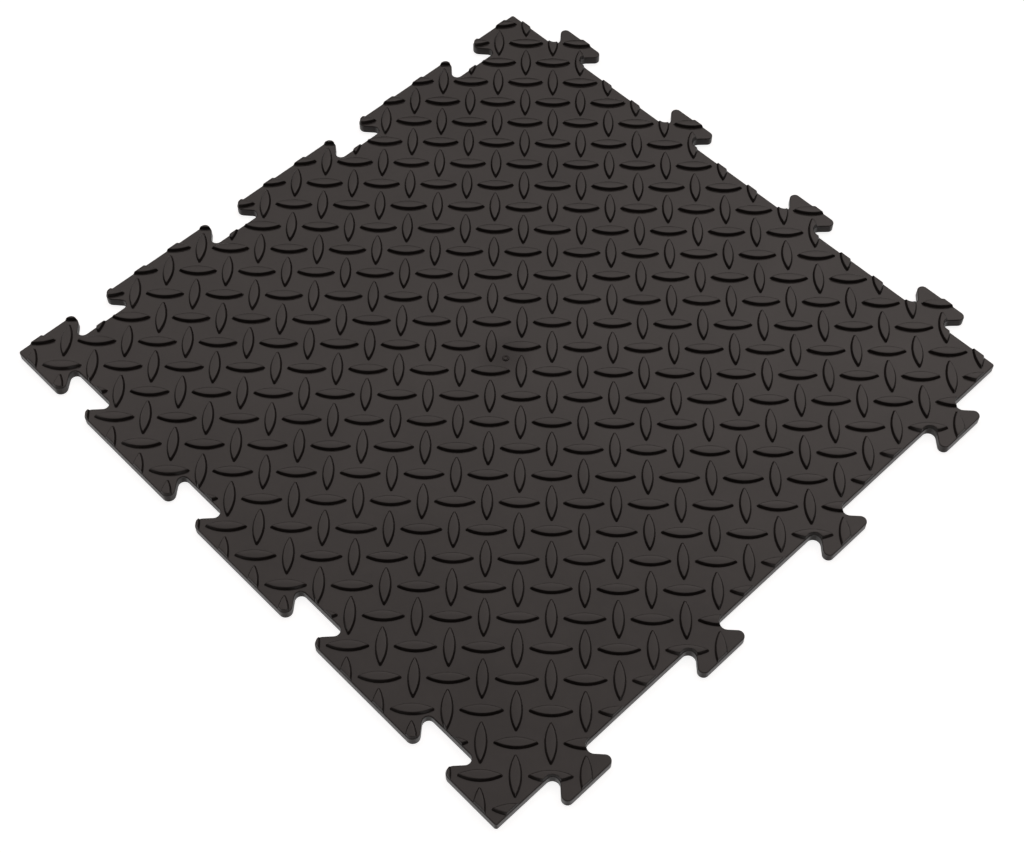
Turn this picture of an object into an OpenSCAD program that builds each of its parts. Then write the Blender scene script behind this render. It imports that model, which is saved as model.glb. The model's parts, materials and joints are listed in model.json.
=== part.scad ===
// Interlocking floor tile: one flexible moulding with a raised lozenge tread.
// Origin: centre of the laying module, on the underside. +X and +Y point at the
// two neighbours, +Z is up through the tread.

/* [Tile] */
// Laying module: pitch from one tile to the next, both ways
module_w = 500; // [460:10:600]
// Thickness of the slab under the tread
slab_t = 7; // [4:0.1:12]
// Radius of the tile's four outer corners
corner_r = 2; // [1:0.5:6]

/* [Interlock] */
// Dovetail tabs, and sockets, along each side
joints_per_side = 4; // [2:1:6]
// How far a tab stands out of the side
tab_l = 20.6; // [19:0.2:30]
// Width of a tab at its narrowest, near the side
neck_w = 27.2; // [16:0.2:34]
// Width of a tab at its widest, near the tip
tip_w = 41.6; // [36:0.2:48]
// Radius of the hollow where a tab leaves the side
neck_r = 5; // [2:0.2:6]
// Radius of the two corners at a tab's tip
tip_r = 4.2; // [2:0.2:5]
// Play all round between a tab and the socket that it fits
fit_gap = 0.3; // [0.1:0.1:1]

/* [Tread] */
// Stud rows across the module
studs_across = 16; // [10:1:18]
// How far the whole tread lies off the module's middle, along Y
tread_shift = -0.5; // [-3:0.1:3]
// Length of a lozenge at its foot, from sharp tip to sharp tip
stud_l = 29.4; // [12:0.2:30]
// Width of a lozenge at its foot
stud_w = 8.3; // [4:0.1:12]
// Height of a lozenge above the slab
stud_h = 2.6; // [0.5:0.1:3]
// How far a lozenge's sides lean in from foot to top
stud_lean = 1.1; // [0.2:0.1:1.5]
// How far inside the tile's edge a lozenge that crosses it is cut off
edge_set = 0.6; // [0.2:0.1:0.9]

/* [Gate mark] */
// Diameter of the pip that the moulding gate leaves at the centre
gate_d = 5; // [2:0.5:10]
// Height of the pip above the slab
gate_h = 0.7; // [0.3:0.1:1.5]

/* [Hidden] */
$fn = 96;
black_vinyl = [0.055, 0.052, 0.05];
half = module_w / 2;
joint_pitch = module_w / joints_per_side;
stud_pitch = module_w / studs_across;
// Radius of the two round sides whose overlap is a lozenge
stud_side_r = (pow(stud_l / 2, 2) + pow(stud_w / 2, 2)) / stud_w;
// Studs whose centres are closer to the middle than this are never cut
whole_reach = half - tab_l - fit_gap - stud_l / 2;
// How far solids that are joined run into each other
bite = 0.5;
// How far a line runs past a circle that it touches, so that they cross cleanly
cross = 0.02;

// Distances from the module's centre to the middle of each joint on a side
function joint_places() =
    [for (i = [0:joints_per_side - 1]) (i + 0.5) * joint_pitch - half];

// Direction of a dovetail's flank normal, from the neck's circle to the tip's
function flank_normal(neck_c, tip_c, reach) =
    let (step = tip_c - neck_c)
    let (turn = atan2(step.y, step.x) - acos(reach / norm(step)))
    [cos(turn), sin(turn)];

// Half of a dovetail that points along -Y from the X axis
module half_dovetail(neck, tip, depth, hollow_r, end_r) {
    neck_c = [neck / 2 + hollow_r, cross - hollow_r];
    tip_c = [tip / 2 - end_r, end_r - depth];
    normal = flank_normal(neck_c, tip_c, hollow_r + end_r);
    difference() {
        polygon([
            [0, bite], [neck_c.x, bite], [neck_c.x, 0],
            neck_c + (hollow_r - cross) * normal, tip_c - (end_r - cross) * normal,
            tip_c, [tip_c.x, -depth], [0, -depth]
        ]);
        translate(neck_c) circle(r = hollow_r);
    }
    translate(tip_c) circle(r = end_r);
}

module dovetail(neck, tip, depth, hollow_r, end_r) {
    half_dovetail(neck, tip, depth, hollow_r, end_r);
    mirror([1, 0]) half_dovetail(neck, tip, depth, hollow_r, end_r);
}

module tab(inset) {
    dovetail(neck_w - 2 * inset, tip_w - 2 * inset, tab_l, neck_r + inset, tip_r - inset);
}

module socket(inset) {
    wider = 2 * (fit_gap + inset);
    dovetail(neck_w + wider, tip_w + wider, tab_l + fit_gap, neck_r - inset, tip_r + inset);
}

module square_plan(inset) {
    edge = module_w - 2 * inset;
    square([edge, module_w - 2 * corner_r], center = true);
    square([module_w - 2 * corner_r, edge], center = true);
    for (x = [-1, 1], y = [-1, 1])
        translate([x, y] * (half - corner_r)) circle(r = corner_r - inset);
}

// Plan of the tile, its edge moved inwards by inset: tabs on the -Y and +X sides,
// sockets on the +Y and -X sides
module tile_plan(inset = 0) {
    side = half - inset;
    difference() {
        square_plan(inset);
        for (p = joint_places()) {
            translate([p, side]) socket(inset);
            translate([-side, p]) rotate(90) socket(inset);
        }
    }
    for (p = joint_places()) {
        translate([p, -side]) tab(inset);
        translate([side, p]) rotate(90) tab(inset);
    }
}

// One of the two round, leaning sides of a lozenge that lies along X
module stud_side(side) {
    translate([0, side * (stud_side_r - stud_w / 2), -bite])
        cylinder(
            h = stud_h + bite,
            r1 = stud_side_r + bite * stud_lean / stud_h,
            r2 = stud_side_r - stud_lean
        );
}

module lozenge() {
    intersection() {
        stud_side(-1);
        stud_side(1);
    }
}

function is_whole(spot) = max(abs(spot.x), abs(spot.y)) < whole_reach;

// Lozenges that lie along X + Y, half a pitch up from the module's corner
rising = [for (i = [0:studs_across], j = [-1:studs_across - 1])
    [i * stud_pitch - half, (j + 0.5) * stud_pitch - half + tread_shift]];

// Lozenges that lie along X - Y, half a pitch right of the module's corner
falling = [for (i = [0:studs_across], j = [0:studs_across])
    [(i + 0.5) * stud_pitch - half, j * stud_pitch - half + tread_shift]];

module lozenges(spots, turn) {
    for (spot = spots) translate(spot) rotate(turn) lozenge();
}

module tread() {
    translate([0, 0, slab_t]) {
        lozenges([for (s = rising) if (is_whole(s)) s], 45);
        lozenges([for (s = falling) if (is_whole(s)) s], -45);
        // The rest are cut off just inside the outline, wherever they cross it
        intersection() {
            union() {
                lozenges([for (s = rising) if (!is_whole(s)) s], 45);
                lozenges([for (s = falling) if (!is_whole(s)) s], -45);
            }
            translate([0, 0, -bite]) linear_extrude(stud_h + 2 * bite) tile_plan(edge_set);
        }
    }
}

module tile() {
    color(black_vinyl) {
        linear_extrude(slab_t) tile_plan();
        tread();
        translate([0, 0, slab_t - bite]) cylinder(h = gate_h + bite, d = gate_d);
    }
}

tile();
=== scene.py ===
"""Interlocking floor tile in black vinyl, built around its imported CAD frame."""

import json
from math import acos, atan2, cos, pi, radians, sin

import bmesh
import bpy
from mathutils import Euler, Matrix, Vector


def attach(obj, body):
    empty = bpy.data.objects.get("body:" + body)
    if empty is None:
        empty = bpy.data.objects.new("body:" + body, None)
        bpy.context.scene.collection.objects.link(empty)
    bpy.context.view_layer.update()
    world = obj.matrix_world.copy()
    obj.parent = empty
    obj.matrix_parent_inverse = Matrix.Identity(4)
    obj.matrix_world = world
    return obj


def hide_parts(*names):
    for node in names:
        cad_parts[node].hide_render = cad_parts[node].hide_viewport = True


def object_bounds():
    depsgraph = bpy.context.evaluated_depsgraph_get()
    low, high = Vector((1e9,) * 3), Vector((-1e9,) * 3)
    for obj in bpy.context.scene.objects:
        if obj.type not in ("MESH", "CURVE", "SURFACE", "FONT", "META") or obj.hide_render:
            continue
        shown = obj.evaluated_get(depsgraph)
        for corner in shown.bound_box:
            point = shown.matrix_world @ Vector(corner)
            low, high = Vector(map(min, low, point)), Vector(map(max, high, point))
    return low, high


MM = 0.001

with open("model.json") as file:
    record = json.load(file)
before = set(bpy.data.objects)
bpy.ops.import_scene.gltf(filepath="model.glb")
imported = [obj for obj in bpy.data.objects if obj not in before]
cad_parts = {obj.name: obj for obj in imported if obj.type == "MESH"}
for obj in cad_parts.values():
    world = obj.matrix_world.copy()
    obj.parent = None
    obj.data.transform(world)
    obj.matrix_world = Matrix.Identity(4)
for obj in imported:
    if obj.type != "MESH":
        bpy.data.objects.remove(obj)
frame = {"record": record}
cad_low, cad_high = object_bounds()
mounts = {m["name"]: m for m in frame["record"]["mounts"]}

# ---------------------------------------------------------------- sizes, in mm
# The laying module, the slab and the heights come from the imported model
half = mounts["side_plus_x"]["pos_m"][0] / MM
slab_t = 2 * mounts["side_plus_x"]["pos_m"][2] / MM
stud_h = cad_high[2] / MM - slab_t
tab_l = cad_high[0] / MM - half
module_w = 2 * half

joints_per_side = 4
neck_w, tip_w = 27.2, 41.6
neck_r, tip_r = 5.0, 4.2
fit_gap = 0.3
corner_r = 2.0

studs_across = 16
stud_l, stud_w = 28.4, 8.3
stud_shift = -0.5     # the tread lies this far off the middle, along Y
stud_tip_r = 0.95     # rounding of a lozenge's tips, at its foot
least_tip_r = 0.12    # and at its top, where they are sharpest
tip_sharpening = 0.6  # loss of tip rounding for each millimetre inwards
side_lean = 0.78      # how far a lozenge's side leans in before its arris rounds over
arris_w, arris_h = 0.70, 0.50
crown_h = 0.07        # rise of a lozenge's top from its arris to its middle
# Fillet at a lozenge's foot: how far inside its outline, and how high above the slab
foot_fillet = [(-0.30, -0.50), (-0.30, -0.005), (-0.14, 0.03), (-0.02, 0.12), (0.06, 0.27)]
# Cut end of a lozenge at the tile's edge: how far inside the edge, and how high above the slab
cut_profile = [
    (0.40, -0.90), (0.45, -0.08), (0.55, 0.12), (0.78, stud_h - 0.42),
    (0.86, stud_h - 0.20), (1.05, stud_h - 0.06), (1.35, stud_h + 0.10),
]

top_round = 0.90      # rounding of the slab's upper arris
foot_round = 0.25     # rounding of the slab's lower arris
arc_steps = 10        # straight pieces in each round stretch of the outline

joint_pitch = module_w / joints_per_side
stud_pitch = module_w / studs_across
# Side arcs whose rounded overlap has the lozenge's width and length
tip_x = stud_l / 2 - stud_tip_r
stud_side_r = (tip_x ** 2 + (stud_w / 2) ** 2 - stud_tip_r ** 2) / (stud_w - 2 * stud_tip_r)


# ---------------------------------------------------------------- outline
def arc(centre, radius, start, end):
    """Points along a round stretch, from one angle to another."""
    return [
        Vector((centre[0] + radius * cos(a), centre[1] + radius * sin(a)))
        for a in (start + (end - start) * i / arc_steps for i in range(arc_steps + 1))
    ]


def dovetail(neck, tip, depth, hollow_r, end_r):
    """A dovetail that points along -Y from the X axis, from its left foot to its right."""
    hollow = Vector((neck / 2 + hollow_r, -hollow_r))
    end = Vector((tip / 2 - end_r, end_r - depth))
    step = end - hollow
    flank = atan2(step.y, step.x) - acos((hollow_r + end_r) / step.length)
    right = arc(hollow, hollow_r, pi / 2, flank + 2 * pi)
    right += arc(end, end_r, flank + pi, -pi / 2)
    left = [Vector((-p.x, p.y)) for p in right]
    return left + right[::-1]


def turned(points, quarters, place):
    """The points turned by that many quarter turns, then moved to place."""
    for _ in range(quarters):
        points = [Vector((-p.y, p.x)) for p in points]
    return [p + Vector(place) for p in points]


def outline(inset=0.0):
    """The tile's edge, anticlockwise from its -X -Y corner, moved inwards by inset."""
    tab = dovetail(
        neck_w - 2 * inset, tip_w - 2 * inset, tab_l, neck_r + inset, tip_r - inset
    )
    socket = dovetail(
        neck_w + 2 * (fit_gap + inset), tip_w + 2 * (fit_gap + inset),
        tab_l + fit_gap, neck_r - inset, tip_r + inset
    )
    edge = half - inset
    corner_c = max(corner_r, inset + 0.05)
    round_c = half - corner_c
    places = [(i + 0.5) * joint_pitch - half for i in range(joints_per_side)]
    points = []
    for side in range(4):
        corner = turned([Vector((-round_c, -round_c))], side, (0, 0))[0]
        start = pi + side * pi / 2
        points += arc(corner, corner_c - inset, start, start + pi / 2)
        for place in places:
            if side < 2:
                feet = [Vector((p.x + place, p.y - edge)) for p in tab]
            else:
                feet = [Vector((p.x + place, -p.y - edge)) for p in socket]
            points += turned(feet, side, (0, 0))
    return points


# ---------------------------------------------------------------- meshes
def closed_solid(name, stacks):
    """A mesh of closed solids. Each stack is a list of rings of equal length, from bottom to top."""
    mesh = bmesh.new()
    for rings in stacks:
        rows = [[mesh.verts.new([c * MM for c in point]) for point in ring] for ring in rings]
        count = len(rows[0])
        mesh.faces.new(rows[0][::-1])
        mesh.faces.new(rows[-1])
        for low, high in zip(rows, rows[1:]):
            for i in range(count):
                j = (i + 1) % count
                mesh.faces.new((low[i], low[j], high[j], high[i]))
    data = bpy.data.meshes.new(name)
    mesh.to_mesh(data)
    mesh.free()
    piece = bpy.data.objects.new(name, data)
    bpy.context.scene.collection.objects.link(piece)
    return piece


def combine(piece, other, operation):
    """Unites or intersects piece with another closed solid, which is then removed."""
    modifier = piece.modifiers.new(operation.lower(), "BOOLEAN")
    modifier.operation = operation
    modifier.solver = "MANIFOLD"
    modifier.object = other
    apply_modifiers(piece)
    bpy.data.objects.remove(other)


def apply_modifiers(piece):
    graph = bpy.context.evaluated_depsgraph_get()
    data = bpy.data.meshes.new_from_object(piece.evaluated_get(graph))
    piece.modifiers.clear()
    piece.data = data


def level(points, z):
    return [(p.x, p.y, z) for p in points]


def slab():
    """The slab with its tabs and sockets, both arrises rounded."""
    quarter = [i / 4 * pi / 2 for i in range(5)]
    foot = [(foot_round * (1 - sin(a)), foot_round * (1 - cos(a))) for a in quarter]
    head = [(top_round * (1 - cos(a)), slab_t - top_round * (1 - sin(a))) for a in quarter]
    return closed_solid("floor_tile", [[level(outline(inset), z) for inset, z in foot + head]])


def lens(inset):
    """Outline of a lozenge at its own centre, moved inwards: two flat arcs with round tips."""
    offset = stud_side_r - stud_w / 2
    radius = stud_side_r - inset
    tip = max(stud_tip_r - tip_sharpening * inset, least_tip_r)
    tip_x = ((radius - tip) ** 2 - offset ** 2) ** 0.5
    open_to = atan2(offset, tip_x)
    points = []
    for side in (1, -1):
        for i in range(5):
            a = -open_to + i / 4 * 2 * open_to
            points.append((side * (tip_x + tip * cos(a)), side * tip * sin(a)))
        for i in range(1, 10):
            a = open_to + i / 10 * (pi - 2 * open_to)
            points.append((side * radius * cos(a), side * (radius * sin(a) - offset)))
    return points


def lozenge(centre, turn):
    """Rings of one lozenge: buried foot, small fillet, leaning side, rounded arris, crowned top."""
    levels = list(foot_fillet)
    for i in range(6):
        a = radians(20 + i / 5 * 64)
        levels.append((
            side_lean + arris_w * (1 - cos(a)),
            stud_h - crown_h - arris_h * (1 - sin(a)),
        ))
    inset, z = levels[-1]
    full = lens(inset)
    rings = [(lens(inset), z) for inset, z in levels]
    for part, rise in ((0.8, 0.40), (0.6, 0.68), (0.35, 0.9), (0.08, 1.0)):
        rings.append(([(x * part, y * part) for x, y in full], z + rise * (stud_h - z)))
    return [
        [(
            centre[0] + x * cos(turn) - y * sin(turn),
            centre[1] + x * sin(turn) + y * cos(turn),
            slab_t + z,
        ) for x, y in points]
        for points, z in rings
    ]


def tread_places():
    """Centre and direction of every lozenge: they alternate by half a pitch both ways."""
    places = []
    for i in range(studs_across + 1):
        for j in range(-1, studs_across + 1):
            rising = (i * stud_pitch - half, (j + 0.5) * stud_pitch - half + stud_shift)
            falling = ((i + 0.5) * stud_pitch - half, j * stud_pitch - half + stud_shift)
            places += [(rising, pi / 4), (falling, -pi / 4)]
    return places


def tread():
    """All lozenges as closed solids; those that cross the edge end just inside it."""
    # Lozenges whose centres are closer to the middle than this are never cut
    whole_reach = half - tab_l - fit_gap - stud_l / 2
    whole, cut = [], []
    for centre, turn in tread_places():
        inside = max(abs(centre[0]), abs(centre[1])) < whole_reach
        (whole if inside else cut).append(lozenge(centre, turn))
    border = closed_solid("border_lozenges", cut)
    prism = [level(outline(inset), slab_t + z) for inset, z in cut_profile]
    combine(border, closed_solid("edge_prism", [prism]), "INTERSECT")
    return closed_solid("lozenges", whole), border


def gate_pip():
    """The low round pip that the moulding gate leaves, with a dimple at its middle."""
    profile = [
        (2.65, -0.5), (2.65, -0.01), (2.55, 0.08), (2.35, 0.52), (2.22, 0.64), (2.05, 0.69),
        (1.85, 0.69), (1.65, 0.62), (1.25, 0.26), (1.05, 0.20), (0.30, 0.20),
    ]
    rings = [
        [(r * cos(2 * pi * i / 32), r * sin(2 * pi * i / 32), slab_t + z) for i in range(32)]
        for r, z in profile
    ]
    return closed_solid("gate_pip", [rings])


tile = slab()
for feature in (*tread(), gate_pip()):
    combine(tile, feature, "UNION")
print("tile mesh:", len(tile.data.vertices), "points", len(tile.data.polygons), "faces")

# Round stretches are smooth, corners over 35 degrees stay crisp, and flat faces stay flat
tile.data.shade_smooth()
tile.data.set_sharp_from_angle(angle=radians(35))
weighted = tile.modifiers.new("flat_faces", "WEIGHTED_NORMAL")
weighted.keep_sharp = True
weighted.weight = 90


# ---------------------------------------------------------------- material
class Nodes:
    """Short names for building a node tree."""

    def __init__(self, tree):
        self.tree = tree
        tree.nodes.clear()

    def add(self, kind, inputs=(), **settings):
        node = self.tree.nodes.new(kind)
        for key, value in settings.items():
            setattr(node, key, value)
        for key, value in dict(inputs).items():
            if isinstance(value, bpy.types.NodeSocket):
                self.tree.links.new(value, node.inputs[key])
            else:
                node.inputs[key].default_value = value
        return node

    def noise(self, where, scale, detail=3.0, roughness=0.5):
        node = self.add(
            "ShaderNodeTexNoise",
            {"Vector": where, "Scale": scale, "Detail": detail, "Roughness": roughness}
        )
        return node.outputs["Fac"]

    def spread(self, value, low, high, out_low, out_high):
        """Maps low to high onto out_low to out_high, and stops at the ends."""
        node = self.add(
            "ShaderNodeMapRange",
            {"Value": value, "From Min": low, "From Max": high, "To Min": out_low, "To Max": out_high}
        )
        return node.outputs["Result"]

    def maths(self, operation, a, b=0.0):
        return self.add("ShaderNodeMath", {0: a, 1: b}, operation=operation).outputs[0]


def black_vinyl():
    material = bpy.data.materials.new("black_vinyl")
    material.use_nodes = True
    n = Nodes(material.node_tree)
    where = n.add("ShaderNodeTexCoord").outputs["Object"]
    blotch = n.noise(where, 18, 3)
    cloud = n.noise(where, 60, 4, 0.6)
    grain = n.noise(where, 1400, 2)
    ripple = n.noise(where, 260, 3)

    # A duller patch round the gate at the tile's middle
    from_gate = n.add("ShaderNodeVectorMath", {0: where}, operation="LENGTH").outputs["Value"]
    blush = n.spread(from_gate, 0.004, 0.022, 1.0, 0.0)

    tone = n.spread(n.maths("ADD", blotch, cloud), 0.8, 1.2, 0.0, 1.0)
    colour = n.add(
        "ShaderNodeMix",
        {"Factor": tone, "A": (0.0330, 0.0290, 0.0277, 1), "B": (0.0400, 0.0352, 0.0337, 1)},
        data_type="RGBA",
    )
    rough = n.spread(cloud, 0.3, 0.7, 0.12, 0.18)
    rough = n.maths("ADD", rough, n.maths("MULTIPLY", blush, 0.10))
    rough = n.maths("ADD", rough, n.spread(grain, 0.35, 0.65, -0.02, 0.02))

    # Upright walls are rougher and duller than the moulded top; the lower shine on them is painted
    # shade, standing in for the shadowed floor they reflect
    facing = n.add("ShaderNodeNewGeometry").outputs["Normal"]
    facing = n.add("ShaderNodeSeparateXYZ", {0: facing}).outputs
    facing_up = n.maths("ABSOLUTE", facing["Z"])
    wall_rough_and_shade = n.spread(facing_up, 0.04, 0.30, 1.0, 0.0)
    rough = n.maths("ADD", rough, n.maths("MULTIPLY", wall_rough_and_shade, 0.22))
    gloss_and_painted_shade = n.maths("SUBTRACT", 0.50, n.maths("MULTIPLY", wall_rough_and_shade, 0.33))
    # The dovetails' flanks and hollows, which don't face squarely along X or Y, are duller still:
    # this lost shine is painted shade in these recesses
    square_on = n.maths("MAXIMUM", n.maths("ABSOLUTE", facing["X"]), n.maths("ABSOLUTE", facing["Y"]))
    flank = n.maths("MULTIPLY", wall_rough_and_shade, n.spread(square_on, 0.88, 0.985, 1.0, 0.0))
    gloss_and_painted_shade = n.maths("MULTIPLY", gloss_and_painted_shade, n.maths("SUBTRACT", 1.0, n.maths("MULTIPLY", flank, 0.65)))
    # Lozenges shine on top, and hardly at all on their steep sides and cut ends: the shine taken away
    # there is painted shade
    height_up = n.add("ShaderNodeSeparateXYZ", {0: where}).outputs["Z"]
    above = n.spread(height_up, (slab_t - 0.25) * MM, (slab_t + 0.05) * MM, 0.0, 1.0)
    steep_painted_shade = n.maths("MULTIPLY", above, n.spread(facing_up, 0.42, 0.60, 1.0, 0.0))
    gloss_and_painted_shade = n.maths("MULTIPLY", gloss_and_painted_shade, n.maths("SUBTRACT", 1.0, n.maths("MULTIPLY", steep_painted_shade, 0.85)))
    gloss_and_painted_shade = n.maths("SUBTRACT", gloss_and_painted_shade, n.maths("MULTIPLY", blush, 0.12))
    gloss_and_painted_shade = n.maths("MULTIPLY", gloss_and_painted_shade, n.spread(blotch, 0.3, 0.7, 0.97, 1.03))

    height = n.maths("ADD", n.maths("MULTIPLY", grain, 0.35), ripple)
    bump = n.add("ShaderNodeBump", {"Height": height, "Strength": 0.12, "Distance": 0.0002})
    shader = n.add(
        "ShaderNodeBsdfPrincipled",
        {"Roughness": rough, "Normal": bump.outputs["Normal"], "IOR": 1.5,
         "Specular IOR Level": gloss_and_painted_shade, "Base Color": colour.outputs["Result"]},
    )
    n.add("ShaderNodeOutputMaterial", {"Surface": shader.outputs["BSDF"]})
    return material


tile.data.materials.clear()
tile.data.materials.append(black_vinyl())
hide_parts("tile")
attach(tile, "root")


# ---------------------------------------------------------------- studio
camera_azimuth = 45.696   # where the camera looks, in degrees from +X towards +Y
camera_elevation = 56.34  # how far down it looks, in degrees
camera_roll = 0.188
camera_place = (-519.6, -539.1, slab_t + 1035.4)  # in mm
camera_lens = 62.02       # focal length on a 36 mm wide sensor
room_glow = 0.055         # how bright the room is outside the soft box


def studio_floor():
    size = 8.0
    data = bpy.data.meshes.new("studio_floor")
    corners = [(x * size, y * size, -0.0001) for x, y in ((-1, -1), (1, -1), (1, 1), (-1, 1))]
    data.from_pydata(corners, [], [(0, 1, 2, 3)])
    floor = bpy.data.objects.new("studio_floor", data)
    bpy.context.scene.collection.objects.link(floor)
    material = bpy.data.materials.new("white_paper")
    material.use_nodes = True
    n = Nodes(material.node_tree)
    where = n.add("ShaderNodeTexCoord").outputs["Object"]
    fibre = n.add("ShaderNodeBump", {"Height": n.noise(where, 900), "Strength": 0.02})
    shader = n.add(
        "ShaderNodeBsdfPrincipled",
        {"Base Color": (0.6, 0.6, 0.6, 1), "Roughness": 0.9, "Specular IOR Level": 0.0,
         "Emission Color": (1, 1, 1, 1), "Emission Strength": 0.85,
         "Normal": fibre.outputs["Normal"]},
    )
    n.add("ShaderNodeOutputMaterial", {"Surface": shader.outputs["BSDF"]})
    data.materials.append(material)


def studio_light():
    """One large rectangular soft box overhead, set off away from the camera, in a dim room."""
    world = bpy.data.worlds.new("soft_box")
    bpy.context.scene.world = world
    world.use_nodes = True
    n = Nodes(world.node_tree)
    where = n.add("ShaderNodeTexCoord").outputs["Generated"]
    away = radians(camera_azimuth)

    def part(direction):
        node = n.add("ShaderNodeVectorMath", {0: where, 1: direction}, operation="DOT_PRODUCT")
        return node.outputs["Value"]

    # Where each direction meets a ceiling one unit up: along the view, and to the side
    up = n.maths("MAXIMUM", part((0, 0, 1)), 0.02)
    along = n.maths("DIVIDE", part((cos(away), sin(away), 0)), up)
    leftwards = n.maths("DIVIDE", part((-sin(away), cos(away), 0)), up)
    aside = n.maths("ABSOLUTE", leftwards)
    # The box's near, far and side edges, each of them soft
    shape = n.maths(
        "MULTIPLY", n.spread(along, -0.30, 0.12, 0.0, 1.0), n.spread(along, 1.05, 1.25, 1.0, 0.0)
    )
    shape = n.maths("MULTIPLY", shape, n.spread(aside, 1.1, 1.6, 1.0, 0.0))
    # It is brightest at its middle, and dimmer towards its ends and to the left
    shape = n.maths("MULTIPLY", shape, n.spread(along, 0.48, 0.71, 0.78, 1.17))
    shape = n.maths("MULTIPLY", shape, n.spread(along, 0.73, 0.95, 1.0, 0.80))
    shape = n.maths("MULTIPLY", shape, n.spread(leftwards, -0.20, 0.24, 1.04, 0.81))
    shape = n.maths("ADD", shape, room_glow)
    # White paper goes on behind the floor, up to just over the horizon
    paper = n.spread(part((0, 0, 1)), 0.05, 0.07, 1.0, 0.0)
    tint = n.add(
        "ShaderNodeMix",
        {"Factor": paper, "A": (1.0, 0.90, 0.865, 1), "B": (1, 1, 1, 1)},
        data_type="RGBA",
    )
    strength = n.maths("MAXIMUM", shape, n.maths("MULTIPLY", paper, 1.02))
    light = n.add("ShaderNodeBackground", {"Color": tint.outputs["Result"], "Strength": strength})
    n.add("ShaderNodeOutputWorld", {"Surface": light.outputs["Background"]})


def camera():
    """The camera stands off the corner between the -Y tabs and the -X sockets, and looks down."""
    data = bpy.data.cameras.new("camera")
    data.sensor_width = 36.0
    data.lens = camera_lens
    data.clip_end = 50.0
    eye = bpy.data.objects.new("camera", data)
    eye.location = Vector(camera_place) * MM
    tilt, heading = radians(90 - camera_elevation), radians(camera_azimuth - 90)
    aim = Euler((tilt, 0, heading), "XYZ").to_matrix()
    spin = Euler((0, 0, radians(camera_roll)), "XYZ").to_matrix()
    eye.rotation_euler = (aim @ spin).to_euler()
    bpy.context.scene.collection.objects.link(eye)
    bpy.context.scene.camera = eye


studio_floor()
studio_light()
camera()
bpy.context.scene.view_settings.view_transform = "Standard"
